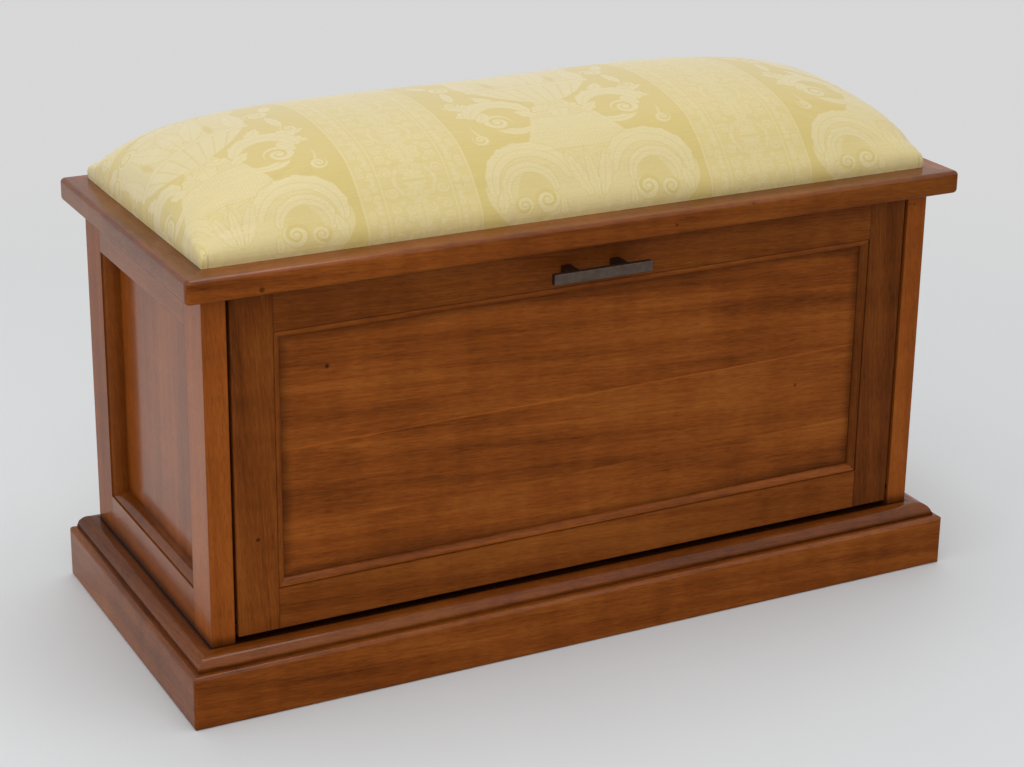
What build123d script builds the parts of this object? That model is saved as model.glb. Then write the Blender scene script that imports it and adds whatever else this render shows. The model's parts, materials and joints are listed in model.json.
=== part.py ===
from build123d import *
import os
from math import asin, cos, degrees, radians, sin

os.makedirs("parts", exist_ok=True)

# Storage bench with a crowned seat pad and a drop front. All sizes are in millimetres.
# X runs to the right, Y to the back and Z up. The origin is on the floor, under the middle of the plinth.

# Carcass
carcass_half = 474
carcass_front = -192
carcass_back = 208
carcass_top = 496
side_thick = 28
side_inner = carcass_half - side_thick
stile_bottom = 3
edge_ease = 1.5

# Side frames and their panels
side_stile = 55
side_open_front = carcass_front + side_stile
side_open_back = carcass_back - side_stile
side_open_low = 129
side_open_high = 446
side_rail_low = 30
side_panel_thick = 8
side_panel_lap = 8
side_recess = side_thick - side_panel_thick
side_bead = {"width": 8, "lip": 2, "quirk": 1.2, "nose": 17, "recess": side_recess}
bead_bulge_width = 0.66
bead_bulge_depth = 0.36
bead_mitre_reach = (-2, 12)

# Plinth boards and the base cap that stands on them
plinth_out = 35
plinth_out_back = 19
plinth_height = 65
plinth_round = 6
plinth_corner_round = 4
plinth_foot_round = 3
cap_out = 26
cap_top = 80
cap_flat = 11
cap_foot = 3.5
cap_lip = 1
cap_bulge_share = 0.72
cap_bulge_drop = 4.2
mitre_inside = -20
back_ratio = plinth_out_back / plinth_out

# Top frame and the opening that the seat pad drops into
top_half_width = 500
top_half_depth = 220
top_thick = 28
top_face = carcass_top + top_thick
top_corner_round = 6.5
top_edge_round = 5.5
seat_open_half = 470
seat_open_front = -186.5
seat_open_back = 204
ledge_reach = 2.39
ledge_depth = 14
ledge_face = top_face - ledge_depth
top_mitre_reach = (-0.5, ledge_reach + 0.3)

# Seat pad
pad_gap = 1
pad_half_width = seat_open_half - pad_gap
pad_half_depth = (seat_open_back - seat_open_front) / 2 - pad_gap
pad_middle = (seat_open_back + seat_open_front) / 2
pad_base = ledge_face + 1
pad_skirt = top_face + 12
pad_peak = top_face + 104.5
pad_end_peak = pad_skirt + 13
pad_drawn_in = 1.5
pad_shoulder_reach = 0.63
pad_shoulder_drop = 0.22
pad_end_power = 5.1
pad_rise_power = 0.43
pad_station_angles = range(-90, 91, 10)
cover_thick = 2.5
seat_board_thick = 12
seat_board_inset = 3

# Drop front, its frame and its panel
flap_half = 442
flap_low = 86.5
flap_high = 493
flap_thick = 22
flap_back = carcass_front + flap_thick
flap_member = 50
flap_open_half = flap_half - flap_member
flap_open_low = flap_low + flap_member
flap_open_high = flap_high - flap_member
flap_recess = 8
flap_panel_thick = 10
flap_panel_lap = 8
flap_panel_front = carcass_front + flap_recess
flap_panel_back = flap_panel_front + flap_panel_thick
flap_bead = {"width": 9, "lip": 0.8, "quirk": 0.9, "nose": 6.8, "recess": flap_recess}

# Pivot of the drop front
pivot_y = carcass_front + 8
pivot_z = flap_low + 16
pin_radius = 3.5
pin_in_flap = 12
pin_in_side = 11.5
bush_radius = 5
bush_length = 12
bush_clearance = 0.1
hole_clearance = 0.1

# Quadrant stays, round the pivot
stay_radius = 130
stay_width = 10
stay_thick = 3
stay_outer_x = 429
stay_flange_width = 21
stay_flange_half_height = 14
stay_end_angle = 107
stay_end_radius = 7.5
guide_angle = 11
guide_gap = 1
guide_pin_radius = 4
guide_pin_reach = 24
guide_shank_radius = 2
guide_shank_depth = 12
guide_plate_thick = 3
guide_plate_size = (34, 12)
guide_plate_round = 3
stay_screw_inset = 5
stay_screw_offset = 8

# Bar handle
handle_half = 64
handle_height = 13
handle_depth = 8
handle_z = 465
handle_stand = 26
handle_ease = 0.8
post_spacing = 64
post_width = 12
post_height = 10
handle_screw_radius = 2
handle_screw_in_post = 12
handle_head_radius = 4
handle_head_thick = 3.5
head_clearance = 0.5

# Inner rails, back, bottom and small fittings
inner_rail = 28
inner_rail_front = -166
back_panel_thick = 8
back_panel_face = 198
back_panel_lap = 8
back_panel_low = 20
back_panel_high = 494
base_rail_low = 5
back_rail_low = 10
bottom_low = 42
bottom_high = 54
cleat_size = 18
side_cleat_half = 100
front_cleat_ends = (60, 240)
fitting_round = 1
stop_width = 12
stop_depth = 14
stop_gap = 0.3
stop_low = 300
stop_high = 450
catch_x = 240
catch_width = 44
catch_height = 12
catch_depth = 17
plate_width = 36
plate_height = 10
plate_thick = 1.8
catch_gap = 0.7

# Screws: how far each kind bites into the piece that it holds, and where they stand
screw_radius = 2
screw_head_radius = 4
screw_head_thick = 2.5
screw_hole_radius = screw_radius + hole_clearance
hole_spare = 1
plinth_bite = 12
top_bite = 11
seat_bite = 8
flap_bite = 12
plinth_screw_z = 36
plinth_screw_x = (-300, 0, 300)
plinth_screw_y = (-125, 125)
top_screw_x = (-320, 0, 320)
front_screw_y = inner_rail_front + inner_rail / 2
back_screw_y = 190
seat_screws_at = [(x, y) for x in (-437, 437) for y in (-80, 80)]


def save(piece, name):
    piece.label = name
    export_step(piece, f"parts/{name}.step")


def board(x_span, y_span, z_span, mode=Mode.ADD):
    # A square-edged board between two corners, in the part being made.
    sizes = [high - low for low, high in (x_span, y_span, z_span)]
    middle = tuple((high + low) / 2 for low, high in (x_span, y_span, z_span))
    with Locations(middle):
        Box(*sizes, mode=mode)


def rod(start, way, length, radius, mode=Mode.ADD):
    # A round bar from a start point, running straight along a direction.
    with BuildSketch(Plane(origin=start, z_dir=way)) as end:
        Circle(radius)
    extrude(end.sketch, amount=length, mode=mode)


def screw(start, way, length, mode=Mode.ADD):
    # A pan-head screw: the head stands on the start point, and the shank runs the given way.
    back = tuple(-step for step in way)
    rod(start, back, screw_head_thick, screw_head_radius, mode)
    rod(start, way, length, screw_radius, mode)


def span(side, near, far):
    # Limits along X of a piece on the left (-1) or the right (1).
    return tuple(sorted((side * near, side * far)))


def wedge(plane, corners, reach):
    # Keeps what lies between the mitre lines of two corners, each a point and its outward direction.
    (start, start_way), (end, end_way) = corners
    inner, outer = reach
    points = [
        (start[0] + inner * start_way[0], start[1] + inner * start_way[1]),
        (end[0] + inner * end_way[0], end[1] + inner * end_way[1]),
        (end[0] + outer * end_way[0], end[1] + outer * end_way[1]),
        (start[0] + outer * start_way[0], start[1] + outer * start_way[1]),
    ]
    with BuildSketch(plane) as outline:
        with BuildLine():
            Polyline(*points, close=True)
        make_face()
    extrude(outline.sketch, amount=2 * top_half_width, both=True, mode=Mode.INTERSECT)


# Corners of the carcass in plan, each with the direction of the mitre in the plinth and the base cap
plan_corner = {
    "front_left": ((-carcass_half, carcass_front), (-1, -1)),
    "front_right": ((carcass_half, carcass_front), (1, -1)),
    "back_right": ((carcass_half, carcass_back), (1, back_ratio)),
    "back_left": ((-carcass_half, carcass_back), (-1, back_ratio)),
}

# Faces that a base moulding is planted on: section plane, place of the face, way out, share of the reach
base_faces = {
    "front": (Plane.YZ, carcass_front, -1, 1, ("front_left", "front_right")),
    "back": (Plane.YZ, carcass_back, 1, back_ratio, ("back_right", "back_left")),
    "left": (Plane.XZ, -carcass_half, -1, 1, ("back_left", "front_left")),
    "right": (Plane.XZ, carcass_half, 1, 1, ("front_right", "back_right")),
}


def plinth_section(plane, face, way, share):
    # A plain board with its outer edges rounded over, the upper one more than the one at the floor.
    def at(out, height):
        return (face + way * out * share, height)

    round_out = plinth_out - plinth_round
    round_low = plinth_height - plinth_round
    inset = plinth_round * (1 - cos(radians(45)))
    foot_inset = plinth_foot_round * (1 - cos(radians(45)))
    with BuildSketch(plane) as section:
        with BuildLine():
            Polyline(at(round_out, plinth_height), at(0, plinth_height), at(0, 0),
                     at(plinth_out - plinth_foot_round, 0))
            ThreePointArc(at(plinth_out - plinth_foot_round, 0), at(plinth_out - foot_inset, foot_inset),
                          at(plinth_out, plinth_foot_round))
            Line(at(plinth_out, plinth_foot_round), at(plinth_out, round_low))
            ThreePointArc(at(plinth_out, round_low), at(plinth_out - inset, plinth_height - inset),
                          at(round_out, plinth_height))
        make_face()
    return section.sketch


def cap_section(plane, face, way, share):
    # Flat by the carcass, then an ovolo down to a small step over a short upright foot.
    def at(out, height):
        return (face + way * out * share, height)

    foot_top = plinth_height + cap_foot
    nose = cap_out - cap_lip
    bulge = at(cap_flat + cap_bulge_share * (nose - cap_flat), cap_top - cap_bulge_drop)
    with BuildSketch(plane) as section:
        with BuildLine():
            Polyline(at(cap_flat, cap_top), at(0, cap_top), at(0, plinth_height), at(cap_out, plinth_height),
                     at(cap_out, foot_top), at(nose, foot_top))
            ThreePointArc(at(nose, foot_top), bulge, at(cap_flat, cap_top))
        make_face()
    return section.sketch


# Plinth boards and base caps, mitred at the four corners
for name, (plane, face, way, share, ends) in base_faces.items():
    corners = [plan_corner[end] for end in ends]

    with BuildPart() as plinth:
        extrude(plinth_section(plane, face, way, share), amount=2 * top_half_width, both=True)
        wedge(Plane.XY, corners, (mitre_inside, plinth_out))
        # The outer corners are rounded in plan
        with BuildSketch() as plan:
            with Locations((0, (carcass_back + plinth_out_back + carcass_front - plinth_out) / 2)):
                RectangleRounded(2 * (carcass_half + plinth_out),
                                 carcass_back + plinth_out_back - carcass_front + plinth_out, plinth_corner_round)
        extrude(plan.sketch, amount=plinth_height, mode=Mode.INTERSECT)
        # Holes for the screws that come through the carcass
        if plane == Plane.YZ:
            starts = [(x, face, plinth_screw_z) for x in plinth_screw_x]
            outward = (0, way, 0)
        else:
            starts = [(face, y, plinth_screw_z) for y in plinth_screw_y]
            outward = (way, 0, 0)
        for start in starts:
            rod(start, outward, plinth_bite + hole_spare, screw_hole_radius, Mode.SUBTRACT)
    save(plinth.part, f"plinth_{name}")

    with BuildPart() as cap:
        extrude(cap_section(plane, face, way, share), amount=2 * top_half_width, both=True)
        wedge(Plane.XY, corners, (mitre_inside, plinth_out))
    save(cap.part, f"base_cap_{name}")


def bead_section(plane, place, bead):
    # Section of a bead: w runs in from the frame's edge, d runs back from its face.
    width, recess = bead["width"], bead["recess"]
    lip, quirk, nose = bead["lip"], bead["quirk"], bead["nose"]
    bulge_w = quirk + bead_bulge_width * (width - quirk)
    bulge_d = lip + bead_bulge_depth * (nose - lip)
    with BuildSketch(plane) as section:
        with BuildLine():
            Polyline(place(width, nose), place(width, recess), place(0, recess), place(0, lip + quirk),
                     place(quirk, lip))
            ThreePointArc(place(quirk, lip), place(bulge_w, bulge_d), place(width, nose))
        make_face()
    return section.sketch


def guide_point(radius, angle):
    # A point at a radius round the pivot, at an angle from upright towards the back.
    return (pivot_y + radius * sin(radians(angle)), pivot_z + radius * cos(radians(angle)))


guide_pin_offset = stay_width / 2 + guide_gap + guide_pin_radius
guide_steps = (-guide_pin_offset, guide_pin_offset)
guide_points = [guide_point(stay_radius + step, guide_angle) for step in guide_steps]

# Side frames: stiles, rails, panel and beads
side_corner = {
    "low_front": ((side_open_front, side_open_low), (1, 1)),
    "low_back": ((side_open_back, side_open_low), (-1, 1)),
    "high_back": ((side_open_back, side_open_high), (-1, -1)),
    "high_front": ((side_open_front, side_open_high), (1, -1)),
}
side_middle_z = (side_open_low + side_open_high) / 2
for hand, side in (("left", -1), ("right", 1)):
    thickness = span(side, side_inner, carcass_half)
    rebate = span(side, side_inner, side_inner + side_panel_thick)
    lap_y = (side_open_front - side_panel_lap, side_open_back + side_panel_lap)
    lap_z = (side_open_low - side_panel_lap, side_open_high + side_panel_lap)

    with BuildPart() as front_stile:
        board(thickness, (carcass_front, side_open_front), (stile_bottom, carcass_top))
        outer = front_stile.edges().filter_by(Axis.Z).sort_by(Axis.Y)[:2].sort_by(Axis.X)
        fillet(outer[0 if side < 0 else -1], edge_ease)
        board(rebate, lap_y, lap_z, Mode.SUBTRACT)
        inner_face = side * side_inner
        rod((inner_face, pivot_y, pivot_z), (side, 0, 0), bush_length, bush_radius, Mode.SUBTRACT)
        for y, z in guide_points:
            bore = guide_shank_radius + hole_clearance
            rod((inner_face, y, z), (side, 0, 0), guide_shank_depth, bore, Mode.SUBTRACT)
    save(front_stile.part, f"{hand}_front_stile")

    with BuildPart() as rear_stile:
        board(thickness, (side_open_back, carcass_back), (stile_bottom, carcass_top))
        outer = rear_stile.edges().filter_by(Axis.Z).sort_by(Axis.Y)[-2:].sort_by(Axis.X)
        fillet(outer[0 if side < 0 else -1], edge_ease)
        board(rebate, lap_y, lap_z, Mode.SUBTRACT)
        back_rebate = span(side, side_inner, side_inner + back_panel_lap)
        board(back_rebate, (back_panel_face, carcass_back), (stile_bottom, carcass_top), Mode.SUBTRACT)
    save(rear_stile.part, f"{hand}_rear_stile")

    with BuildPart() as side_top_rail:
        board(thickness, (side_open_front, side_open_back), (side_open_high, carcass_top))
        board(rebate, lap_y, lap_z, Mode.SUBTRACT)
    save(side_top_rail.part, f"{hand}_top_rail")

    with BuildPart() as side_bottom_rail:
        board(thickness, (side_open_front, side_open_back), (side_rail_low, side_open_low))
        board(rebate, lap_y, lap_z, Mode.SUBTRACT)
        for y in plinth_screw_y:
            rod((inner_face, y, plinth_screw_z), (side, 0, 0), side_thick, screw_hole_radius, Mode.SUBTRACT)
    save(side_bottom_rail.part, f"{hand}_bottom_rail")

    with BuildPart() as side_panel:
        board(rebate, lap_y, lap_z)
    save(side_panel.part, f"{hand}_panel")

    def depth(d):
        return side * (carcass_half - d)

    strips = {
        ("low_front", "low_back"): (Plane.XZ, lambda w, d: (depth(d), side_open_low + w)),
        ("high_back", "high_front"): (Plane.XZ, lambda w, d: (depth(d), side_open_high - w)),
        ("high_front", "low_front"): (Plane.XY, lambda w, d: (depth(d), side_open_front + w)),
        ("low_back", "high_back"): (Plane.XY, lambda w, d: (depth(d), side_open_back - w)),
    }
    beads = []
    for ends, (plane, place) in strips.items():
        with BuildPart() as bead:
            extrude(bead_section(plane, place, side_bead), amount=carcass_top, both=True)
            wedge(Plane.YZ, [side_corner[end] for end in ends], bead_mitre_reach)
        beads.append(bead.part.solid())
    save(Compound(beads), f"{hand}_panel_beads")

# Rails, back and bottom inside the carcass
inner_width = (-side_inner, side_inner)
with BuildPart() as front_base_rail:
    board(inner_width, (carcass_front, carcass_front + inner_rail), (base_rail_low, cap_top))
    for x in plinth_screw_x:
        rod((x, carcass_front, plinth_screw_z), (0, 1, 0), inner_rail, screw_hole_radius, Mode.SUBTRACT)
save(front_base_rail.part, "front_base_rail")

inner_rail_z = (carcass_top - inner_rail, carcass_top)
with BuildPart() as front_top_rail:
    board(inner_width, (inner_rail_front, inner_rail_front + inner_rail), inner_rail_z)
    for x in top_screw_x:
        rod((x, front_screw_y, carcass_top), (0, 0, -1), inner_rail, screw_hole_radius, Mode.SUBTRACT)
save(front_top_rail.part, "front_top_rail")

with BuildPart() as back_top_rail:
    board(inner_width, (back_panel_face - inner_rail, back_panel_face), inner_rail_z)
    for x in top_screw_x:
        rod((x, back_screw_y, carcass_top), (0, 0, -1), inner_rail, screw_hole_radius, Mode.SUBTRACT)
save(back_top_rail.part, "back_top_rail")

with BuildPart() as back_bottom_rail:
    board(inner_width, (back_panel_face - inner_rail, back_panel_face), (back_rail_low, bottom_low))
    for x in plinth_screw_x:
        rod((x, back_panel_face, plinth_screw_z), (0, -1, 0), inner_rail, screw_hole_radius, Mode.SUBTRACT)
save(back_bottom_rail.part, "back_bottom_rail")

with BuildPart() as back_panel:
    lapped = side_inner + back_panel_lap
    board((-lapped, lapped), (back_panel_face, back_panel_face + back_panel_thick),
          (back_panel_low, back_panel_high))
    for x in plinth_screw_x:
        start = (x, back_panel_face, plinth_screw_z)
        rod(start, (0, 1, 0), back_panel_thick, screw_hole_radius, Mode.SUBTRACT)
save(back_panel.part, "back_panel")

with BuildPart() as bottom_panel:
    board(inner_width, (carcass_front + inner_rail, back_panel_face), (bottom_low, bottom_high))
save(bottom_panel.part, "bottom_panel")

cleat_z = (bottom_low - cleat_size, bottom_low)
with BuildPart() as bottom_cleats:
    for side in (-1, 1):
        board(span(side, side_inner - cleat_size, side_inner), (-side_cleat_half, side_cleat_half), cleat_z)
        front_y = carcass_front + inner_rail
        board(span(side, *front_cleat_ends), (front_y, front_y + cleat_size), cleat_z)
save(bottom_cleats.part, "bottom_cleats")

# Top frame: one ring with rounded edges, cut along its mitres into four rails
top_corner = {}
for x_name, x_way in (("left", -1), ("right", 1)):
    top_side = seat_open_half - top_half_width
    top_corner[f"front_{x_name}"] = (
        (x_way * top_half_width, -top_half_depth), (x_way * top_side, seat_open_front + top_half_depth))
    top_corner[f"back_{x_name}"] = (
        (x_way * top_half_width, top_half_depth), (x_way * top_side, seat_open_back - top_half_depth))


def inner_corner(name, share):
    (x, y), (step_x, step_y) = top_corner[name]
    return (x + share * step_x, y + share * step_y)


top_ends = {
    "front": ("front_left", "front_right"),
    "right": ("front_right", "back_right"),
    "back": ("back_right", "back_left"),
    "left": ("back_left", "front_left"),
}
ring = ("front_left", "front_right", "back_right", "back_left")
for name, ends in top_ends.items():
    with BuildPart() as top_rail:
        with BuildSketch(Plane.XY.offset(carcass_top)):
            Rectangle(2 * top_half_width, 2 * top_half_depth)
        extrude(amount=top_thick)
        fillet(top_rail.edges().filter_by(Axis.Z), top_corner_round)
        for face in top_rail.faces().sort_by(Axis.Z)[:: len(top_rail.faces()) - 1]:
            fillet(face.edges(), top_edge_round)
        for share, low, high in ((1, ledge_face, top_face), (ledge_reach, carcass_top, ledge_face)):
            with BuildSketch(Plane.XY.offset(low)):
                with BuildLine():
                    Polyline(*[inner_corner(corner, share) for corner in ring], close=True)
                make_face()
            extrude(amount=high - low, mode=Mode.SUBTRACT)
        wedge(Plane.XY, [top_corner[end] for end in ends], top_mitre_reach)
        for x in top_screw_x:
            for y in (front_screw_y, back_screw_y):
                rod((x, y, carcass_top), (0, 0, 1), top_bite + hole_spare, screw_hole_radius, Mode.SUBTRACT)
        for x, y in seat_screws_at:
            rod((x, y, carcass_top), (0, 0, 1), ledge_depth, screw_hole_radius, Mode.SUBTRACT)
    save(top_rail.part, f"top_{name}")

# Seat pad: plywood board, crowned foam and the cover drawn over both
with BuildPart() as seat_board:
    half_x = pad_half_width - seat_board_inset
    half_y = pad_half_depth - pad_drawn_in - cover_thick
    board((-half_x, half_x), (pad_middle - half_y, pad_middle + half_y),
          (ledge_face, ledge_face + seat_board_thick))
    for x, y in seat_screws_at:
        rod((x, y, ledge_face), (0, 0, 1), seat_bite + hole_spare, screw_hole_radius, Mode.SUBTRACT)
save(seat_board.part, "seat_board")


def pad_section(plane, share, base, inset):
    # Upright skirt leaning out a little, a rounded shoulder and a flatter crown, the same front and back.
    rise = max(0, 1 - share**pad_end_power) ** pad_rise_power
    peak = pad_end_peak + (pad_peak - pad_end_peak) * rise - inset
    skirt = pad_skirt - inset
    half = pad_half_depth - inset
    reach = pad_shoulder_reach * half
    shoulder = peak - pad_shoulder_drop * (peak - skirt)
    front, back = pad_middle - half, pad_middle + half
    with BuildSketch(plane) as section:
        with BuildLine():
            crown = ThreePointArc(
                (pad_middle - reach, shoulder), (pad_middle, peak), (pad_middle + reach, shoulder))
            TangentArc(crown @ 0, (front, skirt), tangent=(crown % 0) * -1)
            TangentArc(crown @ 1, (back, skirt), tangent=crown % 1)
            Polyline((front, skirt), (front + pad_drawn_in, base), (back - pad_drawn_in, base), (back, skirt))
        make_face()
    return section.sketch


def pad_loft(base, inset):
    # Sections crowd towards the ends, where the crown falls away.
    half = pad_half_width - inset
    shares = [sin(radians(angle)) for angle in pad_station_angles]
    loft([pad_section(Plane.YZ.offset(share * half), abs(share), base, inset) for share in shares])


with BuildPart() as seat_foam:
    pad_loft(ledge_face + seat_board_thick, cover_thick)
save(seat_foam.part, "seat_foam")

with BuildPart() as seat_cover:
    pad_loft(pad_base, 0)
    add(seat_foam.part, mode=Mode.SUBTRACT)
    board((-half_x, half_x), (pad_middle - half_y, pad_middle + half_y),
          (ledge_face, ledge_face + seat_board_thick), Mode.SUBTRACT)
save(seat_cover.part, "seat_cover")

# Screws of the carcass and the seat
with BuildPart() as seat_screws:
    for x, y in seat_screws_at:
        screw((x, y, carcass_top), (0, 0, 1), ledge_depth + seat_bite)
save(seat_screws.part, "seat_screws")

with BuildPart() as top_screws:
    for x in top_screw_x:
        for y in (front_screw_y, back_screw_y):
            screw((x, y, carcass_top - inner_rail), (0, 0, 1), inner_rail + top_bite)
save(top_screws.part, "top_screws")

with BuildPart() as plinth_screws:
    back_length = carcass_back - back_panel_face + inner_rail + plinth_bite
    for x in plinth_screw_x:
        screw((x, carcass_front + inner_rail, plinth_screw_z), (0, -1, 0), inner_rail + plinth_bite)
        screw((x, back_panel_face - inner_rail, plinth_screw_z), (0, 1, 0), back_length)
    for side in (-1, 1):
        for y in plinth_screw_y:
            screw((side * side_inner, y, plinth_screw_z), (side, 0, 0), side_thick + plinth_bite)
save(plinth_screws.part, "plinth_screws")

# Drop front: two stiles, two rails, a panel in their grooves and four beads
panel_y = (flap_panel_front, flap_panel_back)
panel_x = (-flap_open_half - flap_panel_lap, flap_open_half + flap_panel_lap)
panel_z = (flap_open_low - flap_panel_lap, flap_open_high + flap_panel_lap)
flap_y = (carcass_front, flap_back)
stay_flange_x = stay_outer_x - stay_flange_width
stay_screw_x = stay_flange_x + stay_screw_inset
stay_top_z = pivot_z + stay_radius
stay_screw_z = (stay_top_z - stay_screw_offset, stay_top_z + stay_screw_offset)
post_x = (-post_spacing / 2, post_spacing / 2)

for hand, side in (("left", -1), ("right", 1)):
    with BuildPart() as flap_stile:
        board(span(side, flap_open_half, flap_half), flap_y, (flap_low, flap_high))
        outer = flap_stile.edges().filter_by(Axis.Z).sort_by(Axis.Y)[:2].sort_by(Axis.X)
        fillet(outer[0 if side < 0 else -1], edge_ease)
        board(panel_x, panel_y, panel_z, Mode.SUBTRACT)
        rod((side * flap_half, pivot_y, pivot_z), (-side, 0, 0), pin_in_flap, pin_radius, Mode.SUBTRACT)
        for z in stay_screw_z:
            start = (side * stay_screw_x, flap_back, z)
            rod(start, (0, -1, 0), flap_bite + hole_spare, screw_hole_radius, Mode.SUBTRACT)
    save(flap_stile.part, f"flap_{hand}_stile")

with BuildPart() as flap_top_rail:
    board((-flap_open_half, flap_open_half), flap_y, (flap_open_high, flap_high))
    board(panel_x, panel_y, panel_z, Mode.SUBTRACT)
    for x in post_x:
        start = (x, flap_back, handle_z)
        rod(start, (0, -1, 0), flap_thick, handle_screw_radius + hole_clearance, Mode.SUBTRACT)
        sink = handle_head_thick + head_clearance
        rod(start, (0, -1, 0), sink, handle_head_radius + head_clearance, Mode.SUBTRACT)
save(flap_top_rail.part, "flap_top_rail")

with BuildPart() as flap_bottom_rail:
    board((-flap_open_half, flap_open_half), flap_y, (flap_low, flap_open_low))
    board(panel_x, panel_y, panel_z, Mode.SUBTRACT)
save(flap_bottom_rail.part, "flap_bottom_rail")

with BuildPart() as flap_panel:
    board(panel_x, panel_y, panel_z)
save(flap_panel.part, "flap_panel")

flap_corner = {
    "low_left": ((-flap_open_half, flap_open_low), (1, 1)),
    "low_right": ((flap_open_half, flap_open_low), (-1, 1)),
    "high_right": ((flap_open_half, flap_open_high), (-1, -1)),
    "high_left": ((-flap_open_half, flap_open_high), (1, -1)),
}
flap_strips = {
    "bottom": (Plane.YZ, lambda w, d: (carcass_front + d, flap_open_low + w), ("low_left", "low_right")),
    "top": (Plane.YZ, lambda w, d: (carcass_front + d, flap_open_high - w), ("high_right", "high_left")),
    "left": (Plane.XY, lambda w, d: (w - flap_open_half, carcass_front + d), ("high_left", "low_left")),
    "right": (Plane.XY, lambda w, d: (flap_open_half - w, carcass_front + d), ("low_right", "high_right")),
}
for name, (plane, place, ends) in flap_strips.items():
    with BuildPart() as flap_bead_strip:
        extrude(bead_section(plane, place, flap_bead), amount=carcass_top, both=True)
        wedge(Plane.XZ, [flap_corner[end] for end in ends], bead_mitre_reach)
    save(flap_bead_strip.part, f"flap_bead_{name}")

# Handle: a flat bar on two posts, screwed through the flap's top rail
bar_back = carcass_front - handle_stand
with BuildPart() as handle_bar:
    board((-handle_half, handle_half), (bar_back - handle_depth, bar_back),
          (handle_z - handle_height / 2, handle_z + handle_height / 2))
    chamfer(handle_bar.edges(), handle_ease)
save(handle_bar.part, "handle_bar")

with BuildPart() as handle_posts:
    for x in post_x:
        board((x - post_width / 2, x + post_width / 2), (bar_back, carcass_front),
              (handle_z - post_height / 2, handle_z + post_height / 2))
    fillet(handle_posts.edges().filter_by(Axis.Y), handle_ease)
    for x in post_x:
        start = (x, carcass_front, handle_z)
        bore = handle_screw_radius + hole_clearance
        rod(start, (0, -1, 0), handle_screw_in_post, bore, Mode.SUBTRACT)
save(handle_posts.part, "handle_posts")

with BuildPart() as handle_screws:
    for x in post_x:
        head = flap_back - handle_head_thick - head_clearance
        shank = head - carcass_front + handle_screw_in_post - hole_spare
        rod((x, head, handle_z), (0, 1, 0), handle_head_thick, handle_head_radius)
        rod((x, head, handle_z), (0, -1, 0), shank, handle_screw_radius)
save(handle_screws.part, "handle_screws")

# Pivot pins, fixed in the flap, and the bushes that they turn in
with BuildPart() as pivot_pins:
    for side in (-1, 1):
        start = flap_half - pin_in_flap
        length = side_inner + pin_in_side - start
        rod((side * start, pivot_y, pivot_z), (side, 0, 0), length, pin_radius)
save(pivot_pins.part, "pivot_pins")

with BuildPart() as pivot_bushes:
    for side in (-1, 1):
        start = (side * side_inner, pivot_y, pivot_z)
        rod(start, (side, 0, 0), bush_length, bush_radius)
        rod(start, (side, 0, 0), bush_length, pin_radius + bush_clearance, Mode.SUBTRACT)
save(pivot_bushes.part, "pivot_bushes")

# Quadrant stays: arms that swing with the flap, between guide pins on the side frames
flange_z = (stay_top_z - stay_flange_half_height, stay_top_z + stay_flange_half_height)
stay_start_angle = degrees(asin((flap_back + stay_thick / 2 - pivot_y) / stay_radius))
for hand, side in (("left", -1), ("right", 1)):
    inner_x = side * (stay_outer_x - stay_thick)
    with BuildPart() as stay_arm:
        outer_radius = stay_radius + stay_width / 2
        inner_radius = stay_radius - stay_width / 2
        middle_angle = (stay_start_angle + stay_end_angle) / 2
        angles = (stay_start_angle, middle_angle, stay_end_angle)
        with BuildSketch(Plane.YZ.offset(inner_x)):
            with BuildLine():
                ThreePointArc(*[guide_point(outer_radius, angle) for angle in angles])
                ThreePointArc(*[guide_point(inner_radius, angle) for angle in angles])
                for angle in (stay_start_angle, stay_end_angle):
                    Line(guide_point(outer_radius, angle), guide_point(inner_radius, angle))
            make_face()
            with Locations(guide_point(stay_radius, stay_end_angle)):
                Circle(stay_end_radius)
        extrude(amount=side * stay_thick)
        board(span(side, stay_flange_x, stay_outer_x), (flap_back, flap_back + stay_thick), flange_z)
        for z in stay_screw_z:
            start = (side * stay_screw_x, flap_back, z)
            rod(start, (0, 1, 0), stay_thick, screw_hole_radius, Mode.SUBTRACT)
    save(stay_arm.part, f"stay_arm_{hand}")

with BuildPart() as stay_screws:
    for side in (-1, 1):
        for z in stay_screw_z:
            screw((side * stay_screw_x, flap_back + stay_thick, z), (0, -1, 0), stay_thick + flap_bite)
save(stay_screws.part, "stay_screws")

plate_centre = guide_point(stay_radius, guide_angle)
plate_way = (0, sin(radians(guide_angle)), cos(radians(guide_angle)))
with BuildPart() as stay_plates:
    for side in (-1, 1):
        plane = Plane(origin=(side * side_inner, *plate_centre), x_dir=plate_way, z_dir=(-side, 0, 0))
        with BuildSketch(plane):
            RectangleRounded(*guide_plate_size, guide_plate_round)
        extrude(amount=guide_plate_thick)
        for y, z in guide_points:
            start = (side * side_inner, y, z)
            bore = guide_shank_radius + hole_clearance
            rod(start, (-side, 0, 0), guide_plate_thick, bore, Mode.SUBTRACT)
save(stay_plates.part, "stay_plates")

with BuildPart() as stay_pins:
    for side in (-1, 1):
        shoulder = side * (side_inner - guide_plate_thick)
        for y, z in guide_points:
            rod((shoulder, y, z), (-side, 0, 0), guide_pin_reach - guide_plate_thick, guide_pin_radius)
            shank = guide_plate_thick + guide_shank_depth - hole_spare
            rod((shoulder, y, z), (side, 0, 0), shank, guide_shank_radius)
save(stay_pins.part, "stay_pins")

# Stops behind the flap, magnetic catches under the front top rail and their plates on the flap
with BuildPart() as flap_stops:
    for side in (-1, 1):
        front = flap_back + stop_gap
        stop_x = span(side, side_inner - stop_width, side_inner)
        board(stop_x, (front, front + stop_depth), (stop_low, stop_high))
save(flap_stops.part, "flap_stops")

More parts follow.
